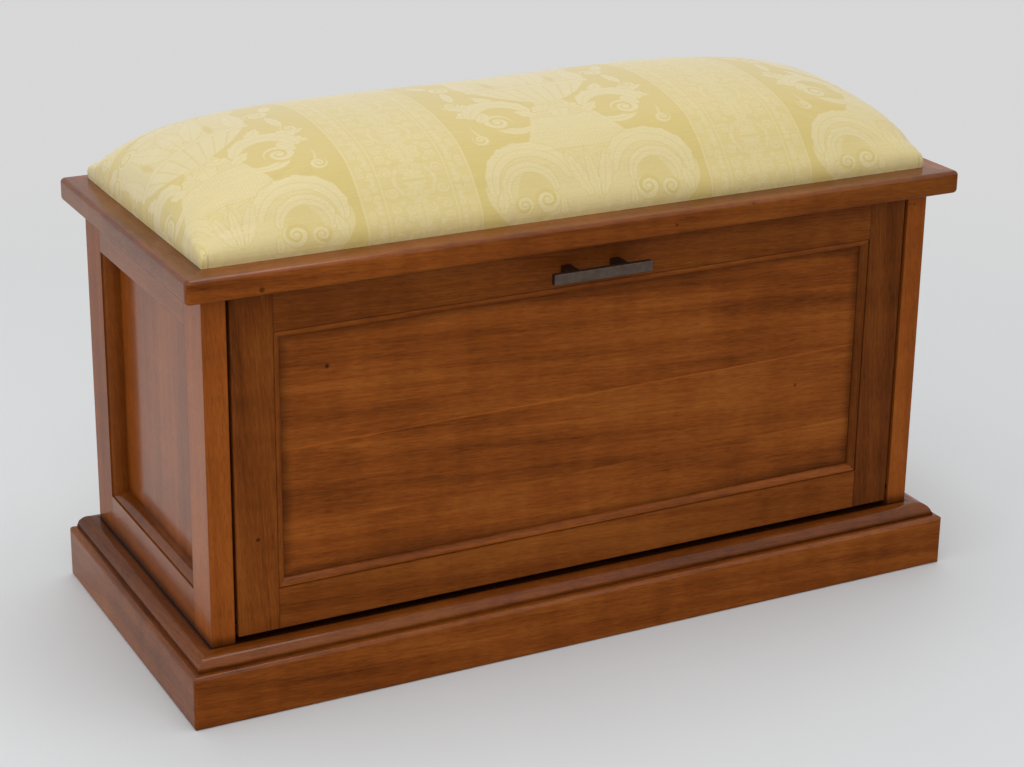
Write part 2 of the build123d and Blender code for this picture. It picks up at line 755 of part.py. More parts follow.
catch_high = carcass_top - inner_rail
catch_front = flap_back + plate_thick + catch_gap
with BuildPart() as catch_magnets:
    for side in (-1, 1):
        board((side * catch_x - catch_width / 2, side * catch_x + catch_width / 2),
              (catch_front, catch_front + catch_depth), (catch_high - catch_height, catch_high))
    fillet(catch_magnets.edges().filter_by(Axis.Y), fitting_round)
save(catch_magnets.part, "catch_magnets")

plate_z = catch_high - catch_height / 2
with BuildPart() as catch_plates:
    for side in (-1, 1):
        board((side * catch_x - plate_width / 2, side * catch_x + plate_width / 2),
              (flap_back, flap_back + plate_thick), (plate_z - plate_height / 2, plate_z + plate_height / 2))
    fillet(catch_plates.edges().filter_by(Axis.Y), fitting_round)
save(catch_plates.part, "catch_plates")
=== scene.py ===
import json
import math
import bmesh
import bpy
import numpy as np
from mathutils import Matrix, Vector


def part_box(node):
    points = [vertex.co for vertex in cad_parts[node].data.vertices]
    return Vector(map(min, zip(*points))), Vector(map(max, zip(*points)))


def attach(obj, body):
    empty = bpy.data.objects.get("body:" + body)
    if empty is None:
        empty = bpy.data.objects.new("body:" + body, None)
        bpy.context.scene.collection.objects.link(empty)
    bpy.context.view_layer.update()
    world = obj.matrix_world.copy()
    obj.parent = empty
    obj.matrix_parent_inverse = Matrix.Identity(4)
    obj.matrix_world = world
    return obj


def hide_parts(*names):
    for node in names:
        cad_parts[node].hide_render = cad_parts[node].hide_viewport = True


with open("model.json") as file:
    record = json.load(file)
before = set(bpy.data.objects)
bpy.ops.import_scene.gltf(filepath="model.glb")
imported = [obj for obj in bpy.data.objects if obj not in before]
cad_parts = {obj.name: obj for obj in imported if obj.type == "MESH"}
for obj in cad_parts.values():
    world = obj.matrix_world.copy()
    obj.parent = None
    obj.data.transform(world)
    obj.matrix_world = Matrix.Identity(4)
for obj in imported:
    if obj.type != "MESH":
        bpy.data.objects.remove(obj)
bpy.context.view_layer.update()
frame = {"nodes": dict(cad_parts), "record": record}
nodes = frame["nodes"]
scene = bpy.context.scene
scene.view_settings.view_transform = "Standard"
print("frame loaded with", len(nodes), "nodes")


class Signal:  # a shader socket that can be added, multiplied and so on
    def __init__(self, tree, socket=None):
        self.tree = tree
        self.socket = socket

    def make(self, kind, sockets=None, out=0, stops=None, **settings):
        node = self.tree.nodes.new(kind)
        for name, value in settings.items():
            setattr(node, name, value)
        for index, (place, colour) in enumerate(stops or []):  # colour ramp
            ramp = node.color_ramp.elements
            stop = ramp[index] if index < len(ramp) else ramp.new(place)
            stop.position = place
            stop.color = (*colour, 1)
        for key, value in (sockets or {}).items():
            if isinstance(value, Signal):
                self.tree.links.new(value.socket, node.inputs[key])
            else:
                node.inputs[key].default_value = value
        return Signal(self.tree, node.outputs[out])

    def math(self, operation, *values):
        return self.make("ShaderNodeMath", dict(enumerate(values)), operation=operation)

    def __add__(self, other):
        return self.math("ADD", self, other)

    def __sub__(self, other):
        return self.math("SUBTRACT", self, other)

    def __rsub__(self, other):
        return self.math("SUBTRACT", other, self)

    def __mul__(self, other):
        return self.math("MULTIPLY", self, other)

    def __truediv__(self, other):
        return self.math("DIVIDE", self, other)

    def __pow__(self, other):
        return self.math("POWER", self, other)

    def __abs__(self):
        return self.math("ABSOLUTE", self)

    __radd__ = __add__
    __rmul__ = __mul__

    def low(self, other):
        return self.math("MINIMUM", self, other)

    def high(self, other):
        return self.math("MAXIMUM", self, other)

    def step(self, start, end, low=0.0, high=1.0):  # smooth, and end may be the lower one
        sockets = {0: self, 1: start, 2: end, 3: low, 4: high}
        return self.make("ShaderNodeMapRange", sockets, interpolation_type="SMOOTHSTEP")

    def noise(self, x, y, z, detail=2.0, roughness=0.5):
        where = self.make("ShaderNodeCombineXYZ", {0: x, 1: y, 2: z})
        sockets = {"Vector": where, "Scale": 1.0, "Detail": detail, "Roughness": roughness}
        return self.make("ShaderNodeTexNoise", sockets, out=0)

    def place(self, kind="Object"):
        where = self.make("ShaderNodeTexCoord", out=kind)
        return [self.make("ShaderNodeSeparateXYZ", {0: where}, out=axis) for axis in range(3)]

    def mix(self, factor, first, second, blend="MIX"):
        sockets = {0: factor, 6: first, 7: second}
        return self.make("ShaderNodeMix", sockets, out=2, data_type="RGBA", blend_type=blend)

    def group(self, name, draw, *inputs):  # what draw makes of the inputs, in a node group
        tree = bpy.data.node_groups.new(name, "ShaderNodeTree")
        for index in range(len(inputs)):
            tree.interface.new_socket(f"in{index}", in_out="INPUT", socket_type="NodeSocketFloat")
        tree.interface.new_socket("figure", in_out="OUTPUT", socket_type="NodeSocketFloat")
        entry = tree.nodes.new("NodeGroupInput")
        given = [Signal(tree, entry.outputs[index]) for index in range(len(inputs))]
        figure = draw(Signal(tree), *given)
        tree.links.new(figure.socket, tree.nodes.new("NodeGroupOutput").inputs[0])
        return self.make("ShaderNodeGroup", dict(enumerate(inputs)), node_tree=tree)

    def grey(self):
        return self.make("ShaderNodeCombineColor", {0: self, 1: self, 2: self})

    def bump(self, height, strength, distance):
        sockets = {"Height": height, "Strength": strength, "Distance": distance}
        return self.make("ShaderNodeBump", sockets)


def newMaterial(name, **sockets):
    material = bpy.data.materials.new(name)
    material.use_nodes = True
    shader = material.node_tree.nodes["Principled BSDF"]
    start = Signal(material.node_tree)

    def feed(**values):
        for key, value in values.items():
            socket = shader.inputs[key.replace("_", " ")]
            if isinstance(value, Signal):
                material.node_tree.links.new(value.socket, socket)
            else:
                socket.default_value = value

    feed(**sockets)
    return material, start, feed


def dress(name, material):
    piece = nodes[name].data
    piece.materials.clear()
    piece.materials.append(material)


# Stained wood: one board each, with its own figure, tone and direction of grain
wood = {
    "dark": (0.079, 0.0184, 0.0028),
    "mid": (0.222, 0.0556, 0.0076),
    "light": (0.353, 0.1070, 0.0160),
    "roughness": 0.36,
    "specular": 0.03,
    "edgeWidth": 0.0014,
    "edgeShade": 0.62,
    "sideFigure": 0.65,  # the sides are plainer boards
    "lean": 0.06,  # the grain runs a little off the edge
    "poreShade": 0.30,
}

# Figure of the wood: scale along the board and across it, detail, roughness and weight
figureLayers = {
    "streak": (12, 420, 3.0, 0.6, 0.36),
    "ribbon": (30, 9, 2.0, 0.5, 0.30),
    "cloud": (3, 14, 3.0, 0.5, 0.72),
    "fleck": (60, 480, 2.0, 0.5, 0.38),
}
bandWeight = 0.72

# Boards of the flap's panel, glued edge to edge: height of each joint and jump of the figure there
glue = {"slope": 0.008, "joints": ((0.302, 0.61), (0.205, 0.43)), "half": 0.0002, "line": (0.0016, 0.0003),
        "glow": 0.35}

# Boards that differ from the plain finish: brightness, shade of the arrises, share of the lacquer's shine,
# and brightness at the two ends of the grain. Some of this is painted light and shade: every fade is painted
# light falling off along a board, a few tones are painted shade or painted shadow, and the shine shares
# follow the sheen that the lighting gave each board.
boards = {
    # the panel's fade is painted light, brighter at the left end
    "flap_panel": {"tone": 0.94, "edge": 1.0, "fade": (1.06, 0.97)},
    "flap_bead_top": {"tone": 0.85, "shine": 0.3},
    "flap_bead_bottom": {"tone": 0.95, "shine": 0.5},
    "flap_bead_left": {"tone": 0.85, "shine": 0.4},
    # the right-hand bead is darkened as painted shade on its slope, away from the light
    "flap_bead_right": {"tone": 0.50, "shine": 0.2},
    # the stile's fade is painted light and shade, darker towards the top
    "flap_left_stile": {"tone": 0.80, "fade": (1.03, 0.80)},
    # the right-hand stile is darker as painted shade, away from the light
    "flap_right_stile": {"tone": 0.57},
    "flap_top_rail": {"tone": 0.66},
    "flap_bottom_rail": {"tone": 0.77},
    "left_rear_stile": {"tone": 0.95, "shine": 0.5},
    "left_front_stile": {"tone": 1.18, "shine": 0.88},
    "right_front_stile": {"tone": 1.14},
    # the top's fade is painted light, brighter at the left end and darker to the right
    "top_front": {"tone": 0.84, "edge": 0.85, "fade": (1.20, 0.75)},
    "top_back": {"edge": 0.85},
    "top_left": {"tone": 0.70, "edge": 0.80},
    "top_right": {"edge": 0.85},
    "left_panel_beads": {"tone": 0.72},
    "left_panel": {"tone": 1.05, "edge": 1.0},
    "right_panel": {"tone": 1.1, "edge": 1.0},
    # the base rail under the flap is nearly black as painted shadow in the gap
    "front_base_rail": {"tone": 0.10},
    "plinth_front": {"tone": 0.88, "edge": 0.8},
    "plinth_left": {"tone": 0.82, "shine": 0.72},
    "base_cap_front": {"tone": 0.76},
    "base_cap_left": {"tone": 0.65, "shine": 0.55},
}

# Marks on single boards, in metres: place, radius and how dark
marks = {
    "flap_panel": [
        ((-0.3261, -0.184, 0.3908), 0.0040, 0.75),
        ((0.2992, -0.184, 0.2650), 0.0035, 0.5),
    ],
    "top_front": [
        ((-0.4147, -0.220, 0.5033), 0.0045, 0.6),
        ((0.0977, -0.220, 0.508), 0.003, 0.5),
        ((0.2019, -0.220, 0.5212), 0.0025, 0.6),
    ],
    "flap_left_stile": [((-0.4158, -0.192, 0.2012), 0.0035, 0.7)],
    "right_front_stile": [
        ((0.4489, -0.192, 0.481), 0.0016, 0.8),
        ((0.4559, -0.192, 0.480), 0.0016, 0.8),
    ],
    "flap_bead_right": [((0.3889, -0.190, 0.4473), 0.0014, 0.7)],
}

# Where a panel shows inside its beads, so that it is darker along the beads: partly stain, partly painted
# shade
recessStainAndShade = {"front": (0.016, 0.55), "side": (0.006, 0.70), "bead": 0.0085, "waver": 0.012}  # reach and shade

# Lacquer shines along the sides, the top and the rounded edges, and hardly at all on the front: the coat
# weight follows which way a face points, a painted sheen that stands in for how the light fell
lacquer = {"front": 0.02, "side": 0.605, "roughness": 0.13, "ior": 1.55}

# Darkening in corners: stain and painted shade above the base cap, painted shade in the groove of the cap
# itself, and painted shadow along the cap's inner edge
stainAndPaintedShade = {
    "shade": 0.36,
    "reach": 0.016,
    "waver": 0.014,
    "groove": 0.0670,
    "grooveHalf": 0.0028,
    "grooveShade": 0.5,
    "corner": 0.0060,
    "cornerShade": 0.12,
}


def boxEdge(axes, name):
    low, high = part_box(name)
    gaps = [(axis - low[i]).low(high[i] - axis) for i, axis in enumerate(axes)]
    first, second, third = gaps
    return first.low(second).high(first.high(second).low(third))  # the middle one of the three


def panelEdge(axes, name):
    body = name.split("_")[0]
    stiles = (0, "left_stile", "right_stile") if body == "flap" else (1, "front_stile", "rear_stile")
    gaps = []
    for axis, before, after in (stiles, (2, "bottom_rail", "top_rail")):
        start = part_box(f"{body}_{before}")[1][axis] + recessStainAndShade["bead"]
        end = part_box(f"{body}_{after}")[0][axis] - recessStainAndShade["bead"]
        gaps.append((axes[axis] - start).low(end - axes[axis]))
    return gaps[0].low(gaps[1])


def glueJoints(axes):
    rise = axes[2] - axes[0] * glue["slope"]
    jump = 0
    for height, shift in glue["joints"]:
        jump = jump + (rise - height).step(-glue["half"], glue["half"]) * shift
    return jump, abs(rise - glue["joints"][0][0]).step(*glue["line"])


def stainAndShadeInCorners(name, axes, grain, cloud):  # darker beside the mouldings: partly stain, partly painted shade and painted shadow
    low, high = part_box(name)
    # darker along the beads of a sunken panel: partly stain, partly painted shade
    if name in ("flap_panel", "left_panel", "right_panel"):
        away = panelEdge(axes, name) + cloud * recessStainAndShade["waver"]
        reach, dark = recessStainAndShade["front" if name == "flap_panel" else "side"]
        shade = away.step(-0.001, reach, dark, 1.0)
    else:
        shade = 1.0
    # painted shade in the cap's groove, and painted shadow along its inner edge against the carcass
    if name.startswith("base_cap"):
        groove = abs(axes[2] - stainAndPaintedShade["groove"]).step(0.0, stainAndPaintedShade["grooveHalf"], stainAndPaintedShade["grooveShade"], 1.0)
        outward = 1 - grain  # x or y, away from the carcass
        inner = high[outward] - axes[outward] if high[outward] < 0 else axes[outward] - low[outward]
        return groove * inner.step(0.001, stainAndPaintedShade["corner"], stainAndPaintedShade["cornerShade"], 1.0)
    # above the base cap: stain and painted shade where the sides meet the cap
    if name.startswith(("left_", "right_")):
        rise = axes[2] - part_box("base_cap_front")[1].z + cloud * stainAndPaintedShade["waver"]
        return rise.step(0.0, stainAndPaintedShade["reach"], stainAndPaintedShade["shade"], 1.0) * shade
    return shade


def sheenByFacing(s, share):  # coat weight by face direction, little on the front and none underneath: painted sheen in place of light
    _, toFront, upward = s.place("Normal")
    dull = abs(toFront).step(0.3, 0.85) * upward.step(0.45, 0.15)
    shiny = (1 - dull) * upward.step(-0.45, -0.15)
    return shiny * (lacquer["side"] * share - lacquer["front"]) + lacquer["front"]


def stainedWood(name, seed):
    board = boards.get(name, {})
    low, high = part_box(name)
    size = high - low
    grain = max(range(3), key=lambda axis: size[axis])
    material, s, feed = newMaterial(name + "_wood", Specular_IOR_Level=wood["specular"],
                                    Coat_Roughness=lacquer["roughness"], Coat_IOR=lacquer["ior"])
    axes = s.place()
    along = axes[grain] + seed * 1.73
    sides = {0: (2, 1), 1: (0, 2), 2: (0, 1)}[grain]
    across, deep = [axes[axis] + seed * shift for axis, shift in zip(sides, (0.37, 0.53))]
    across = across + along * wood["lean"]
    if name == "flap_panel":
        jump, glueLine = glueJoints(axes)
        across = across + jump
    sway = s.noise(along * 1.5, across * 6, deep * 6) - 0.5
    band = s.noise(along * 1.2 + sway * 2, across * 55 + sway * 3, deep * 55, 3.0, 0.55) - 0.5
    layers = {}
    figure = band * bandWeight
    for layer, (length, width, detail, roughness, weight) in figureLayers.items():
        layers[layer] = s.noise(along * length, across * width, deep * width, detail, roughness) - 0.5
        figure = figure + layers[layer] * weight
    pore = s.noise(along * 85, across * 1700, deep * 1700, 1.0).step(0.56, 0.72)
    calm = wood["sideFigure"] if name.startswith(("left_", "right_")) else 1.0
    stain = s.make("ShaderNodeValToRGB", {0: 0.5 + figure * calm},
                   stops=((0.1, wood["dark"]), (0.5, wood["mid"]), (0.9, wood["light"])))
    shade = (1 - pore * wood["poreShade"]) * board.get("tone", 1.0)
    edge = board.get("edge", wood["edgeShade"])
    if edge < 1:
        shade = shade * boxEdge(axes, name).step(0.0, wood["edgeWidth"], edge, 1.0)
    if name == "flap_panel":
        shade = shade * (1 + glueLine * glue["glow"])
    shade = shade * stainAndShadeInCorners(name, axes, grain, layers["cloud"])
    if "fade" in board:
        start, end = board["fade"]
        shade = shade * ((axes[grain] - low[grain]) * ((end - start) / size[grain]) + start)
    where = s.make("ShaderNodeTexCoord", out="Object")
    for spot, radius, dark in marks.get(name, []):
        gap = s.make("ShaderNodeVectorMath", {0: where, 1: spot}, out="Value", operation="DISTANCE")
        shade = shade * gap.step(radius * 0.3, radius, 1 - dark, 1.0)
    feed(Base_Color=s.mix(1.0, stain, shade.grey(), "MULTIPLY"),
         Roughness=wood["roughness"] + pore * 0.12 + layers["streak"] * 0.1,
         Coat_Weight=sheenByFacing(s, board.get("shine", 1.0)),
         Normal=s.bump(layers["streak"] * 0.5 - pore, 0.10, 0.0004))
    return material


woodNames = [part["node"] for part in frame["record"]["subparts"] if part["material_slot"] == "stained_wood"]
for index, name in enumerate(sorted(woodNames)):
    dress(name, stainedWood(name, index * 0.77))
print("stained wood on", len(woodNames), "pieces")


# Plain inner wood, metal and plastic
def innerWood(name, pale, dark, grain):
    material, s, feed = newMaterial(name)
    axes = s.place()
    along, across, deep = [axes[axis] for axis in {0: (0, 1, 2), 2: (2, 0, 1)}[grain]]
    streak = s.noise(along * 2.5, across * 150, deep * 150, 4.0, 0.65)
    feed(Base_Color=s.make("ShaderNodeValToRGB", {0: streak}, stops=((0.3, dark), (0.7, pale))),
         Roughness=0.6 + streak * 0.1, Normal=s.bump(streak, 0.1, 0.0004))
    return material


def metal(name, bright, dull, rough, scale):
    material, s, feed = newMaterial(name, Metallic=1.0)
    axes = s.place()
    patch = s.noise(*[axis * scale for axis in axes], 4.0, 0.6)
    feed(Base_Color=s.make("ShaderNodeValToRGB", {0: patch}, stops=((0.35, dull), (0.65, bright))),
         Roughness=rough + patch * 0.15, Normal=s.bump(patch, 0.15, 0.0005))
    return material


def plastic(name, shade):
    material, s, feed = newMaterial(name)
    axes = s.place()
    grit = s.noise(*[axis * 900 for axis in axes], 2.0)
    feed(Base_Color=s.mix(grit, tuple(0.8 * part for part in shade) + (1,), shade + (1,)),
         Roughness=0.5 + grit * 0.1, Normal=s.bump(grit, 0.1, 0.0002))
    return material


finishes = {
    "carcass_board": innerWood("carcass_board", (0.42, 0.22, 0.09), (0.24, 0.10, 0.035), 0),
    "pale_wood": innerWood("pale_wood", (0.50, 0.30, 0.13), (0.32, 0.16, 0.06), 0),
    "handle_iron": metal("handle_iron", (0.125, 0.092, 0.072), (0.088, 0.064, 0.050), 0.38, 110),
    "steel": metal("steel", (0.62, 0.62, 0.60), (0.46, 0.46, 0.45), 0.3, 240),
    "brass": metal("aged_brass", (0.22, 0.15, 0.06), (0.12, 0.08, 0.03), 0.4, 240),
    "catch_case": plastic("catch_case", (0.11, 0.05, 0.02)),
}
for part in frame["record"]["subparts"]:
    if part["material_slot"] in finishes:
        dress(part["node"], finishes[part["material_slot"]])
# the pivot pins are made near-black as painted shade, so they stay dark in the gap round the flap
dress("pivot_pins", metal("pin_steel_painted_dark", (0.014, 0.012, 0.010), (0.008, 0.007, 0.006), 0.6, 240))
print("inner wood, metal and plastic done")


# Seat cushion: the foam's form, blown up as cloth, then pulled in at its lower edge
cushion = {
    "voxel": 0.006,
    "pressure": 4.0,
    "frames": 20,
    "swell": 0.0024,  # how far the top may move
    "skirtSwell": 0.0008,  # the same for the sides inside the frame
    "overhang": 0.0014,  # how far the cloth stands over the frame's inner edge
    "overhangHeight": 0.045,
    "lumps": ((0.20, 0.13, 0.0024, 0.08), (0.458, 0.035, 0.006, 0.03)),  # place, reach, rise, full height
    "rippleDepth": 0.0009,
    "rippleReach": 0.016,
    "rippleIn": 0.02,
    "pleatIn": 0.007,  # from the corner to the fold
    "pleatDepth": 0.0010,
    "pleatWidth": 0.0030,
    "pleatHeight": 0.022,
    "foldLine": (0.0014, 0.0004),  # the fold's line of painted shade, its height above the frame and how dark it is
    "foldHeight": (0.019, 0.011),
    "foldPaintedShade": 0.20,
    "skirt": 0.012,  # straight side above the frame
    "heldRim": 0.004,
    "freeHeight": 0.03,
}


def evaluatedCopy(piece):
    view = bpy.context.evaluated_depsgraph_get()
    return bpy.data.meshes.new_from_object(piece.evaluated_get(view))


def points(mesh):
    place = np.empty(len(mesh.vertices) * 3)
    mesh.vertices.foreach_get("co", place)
    return place.reshape(-1, 3)


def bakeModifiers(piece):
    mesh = evaluatedCopy(piece)
    piece.modifiers.clear()
    piece.data = mesh


def seatCushion():
    form = bmesh.new()
    form.from_mesh(nodes["seat_foam"].data)
    foam, cover = [np.array(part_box(name)) for name in ("seat_foam", "seat_cover")]
    for corner in form.verts:  # the foam's form, grown to the cover's size
        place = np.array(corner.co)
        grown = cover[0] + (place - foam[0]) * (cover[1] - cover[0]) / (foam[1] - foam[0])
        if place[2] > foam[0][2] + 0.001:
            grown[2] = place[2] + cover[1][2] - foam[1][2]
        corner.co = grown
    bmesh.ops.remove_doubles(form, verts=form.verts, dist=0.00002)
    bmesh.ops.recalc_face_normals(form, faces=form.faces)
    mesh = bpy.data.meshes.new("seat_cushion")
    form.to_mesh(mesh)
    form.free()
    piece = bpy.data.objects.new("seat_cushion", mesh)
    scene.collection.objects.link(piece)
    remesh = piece.modifiers.new("remesh", "REMESH")
    remesh.mode = "VOXEL"
    remesh.voxel_size = cushion["voxel"]
    bakeModifiers(piece)
    before = points(piece.data)
    low = before.min(0)
    rim = piece.vertex_groups.new(name="rim")
    held = np.flatnonzero(before[:, 2] < low[2] + cushion["heldRim"])
    rim.add([int(i) for i in held], 1.0, "REPLACE")
    cloth = piece.modifiers.new("cloth", "CLOTH")
    cloth.settings.quality = 5
    cloth.settings.use_pressure = True
    cloth.settings.uniform_pressure_force = cushion["pressure"]
    cloth.settings.vertex_group_mass = "rim"
    cloth.settings.effector_weights.gravity = 0
    for step in range(1, cushion["frames"] + 1):
        scene.frame_set(step)
    after = points(evaluatedCopy(piece))
    piece.modifiers.clear()
    piece.vertex_groups.clear()
    scene.frame_set(1)
    move = after - before
    reach = np.linalg.norm(move, axis=1)
    rise = np.clip((before[:, 2] - low[2]) / cushion["freeHeight"], 0, 1)
    limit = cushion["skirtSwell"] + (cushion["swell"] - cushion["skirtSwell"]) * rise
    share = np.minimum(1, limit / np.maximum(reach, 1e-9))
    piece.data.vertices.foreach_set("co", (before + move * share[:, None]).ravel())
    print("cushion blown up: moved", round(float(reach.max()) * 1000, 1), "mm before the limit")
    soften = piece.modifiers.new("soften", "SUBSURF")
    soften.levels = soften.render_levels = 1
    bakeModifiers(piece)
    return piece


def pullEdges(piece):  # stapled cloth: short upright pulls and a fold at each corner
    place = points(piece.data)
    low, high = place.min(0), place.max(0)
    middle = (low + high) / 2
    half = (high - low) / 2
    away = half[:2] - np.abs(place[:, :2] - middle[:2])  # distance in from the sides
    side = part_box("seat_cover")[1]
    reach = np.array([side.x - middle[0], side.y - middle[1]]) + 0.0004
    height = place[:, 2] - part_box("top_front")[1].z  # above the frame
    fuller = cushion["overhang"] * np.clip(height / 0.005, 0, 1)
    fall = np.clip(1 - height / cushion["overhangHeight"], 0, 1)
    for axis in (0, 1):  # fills the opening and leans over its edge
        offset = place[:, axis] - middle[axis]
        near = np.clip(1 - away[:, axis] / 0.016, 0, 1) ** 0.5 * fall * fall * (3 - 2 * fall)
        target = np.maximum(np.abs(offset), reach[axis] + fuller)
        place[:, axis] = middle[axis] + np.sign(offset) * (np.abs(offset) + (target - np.abs(offset)) * near)
    for spot, wide, rise, full in cushion["lumps"]:  # the filling is fuller to the right
        place[:, 2] += rise * np.exp(-((place[:, 0] - spot) / wide) ** 2) * np.clip(height / full, 0, 1) ** 2
    fade = np.exp(-np.clip(height, 0, None) / cushion["rippleReach"]) * np.clip(height / 0.002, 0, 1)
    for side, other in ((0, 1), (1, 0)):
        run = place[:, other]
        wave = np.sin(run * 331 + 1.3) + 0.6 * np.sin(run * 190)
        wave += 0.8 * np.sin(run * 547 + 4 * np.sin(run * 23))
        near = np.clip(1 - away[:, side] / cushion["rippleIn"], 0, 1)
        inward = -np.sign(place[:, side] - middle[side])
        place[:, side] += inward * cushion["rippleDepth"] * (1.2 + wave) / 2 * fade * near
    fold = np.abs(away[:, 0] - cushion["pleatIn"]) / cushion["pleatWidth"]
    groove = np.clip(1 - fold, 0, 1) * np.clip(1 - away[:, 1] / 0.008, 0, 1)
    groove *= np.clip(1.25 - np.abs(height) / cushion["pleatHeight"], 0, 1)
    place[:, 1] -= np.sign(place[:, 1] - middle[1]) * cushion["pleatDepth"] * groove
    piece.data.vertices.foreach_set("co", place.ravel())


def arcLength(line):  # running length along a profile, counted from its middle
    run = np.concatenate([[0], np.cumsum(np.hypot(*np.diff(line, axis=0).T))])
    return run - np.interp(0, line[:, 0], run)


def layCloth(piece):  # a map in metres that follows the crown, so that the pattern isn't stretched
    place = points(piece.data)
    low, high = place.min(0), place.max(0)
    middle = (low + high) / 2
    flat = []
    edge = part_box("top_front")[1].z
    skirt = edge + cushion["skirt"]
    for axis, other in ((0, 1), (1, 0)):
        row = (np.abs(place[:, other] - middle[other]) < 0.003) & (place[:, 2] > skirt)
        line = place[row][:, [axis, 2]] - [middle[axis], 0]
        line = line[np.argsort(line[:, 0])]
        bins = np.linspace(line[0, 0], line[-1, 0], 160)
        line = np.column_stack([bins, np.interp(bins, line[:, 0], line[:, 1])])
        side = place[:, axis] - middle[axis]
        length = np.interp(side, line[:, 0], arcLength(line))
        wall = np.clip((np.abs(side) - (high[axis] - middle[axis]) + 0.006) / 0.004, 0, 1)
        length += np.sign(side) * wall * np.clip(skirt - place[:, 2], 0, None)
        flat.append(length)
        front = arcLength(line)[0] - (skirt - edge)
    flat = np.column_stack(flat) - [0, front]  # counted up from the frame's front edge
    corners = np.empty(len(piece.data.loops), dtype=int)
    piece.data.loops.foreach_get("vertex_index", corners)
    layer = piece.data.uv_layers.new(name="cloth")
    layer.data.foreach_set("uv", flat[corners].ravel())
    print("cloth lies over", np.ptp(flat, axis=0).round(3), "m")


# Damask: gold bands of urns and scrolls with paler lace bands between them, drawn in millimetres
damask = {
    "repeat": 440,
    "shift": 15,  # the middle band lies a little to the right
    "urnHalf": 149,
    "height": 400,
    "squash": 1.11,  # the motif is a little shorter than it is drawn
    "soft": 1.0,
    "margin": 1.3,  # a thin line of ground left round each shape
    "line": 0.5,
    "ground": (0.598, 0.466, 0.150),
    "figure": (0.664, 0.554, 0.280),
    "lace": (0.628, 0.502, 0.198),
    "laceWeight": 0.7,
}


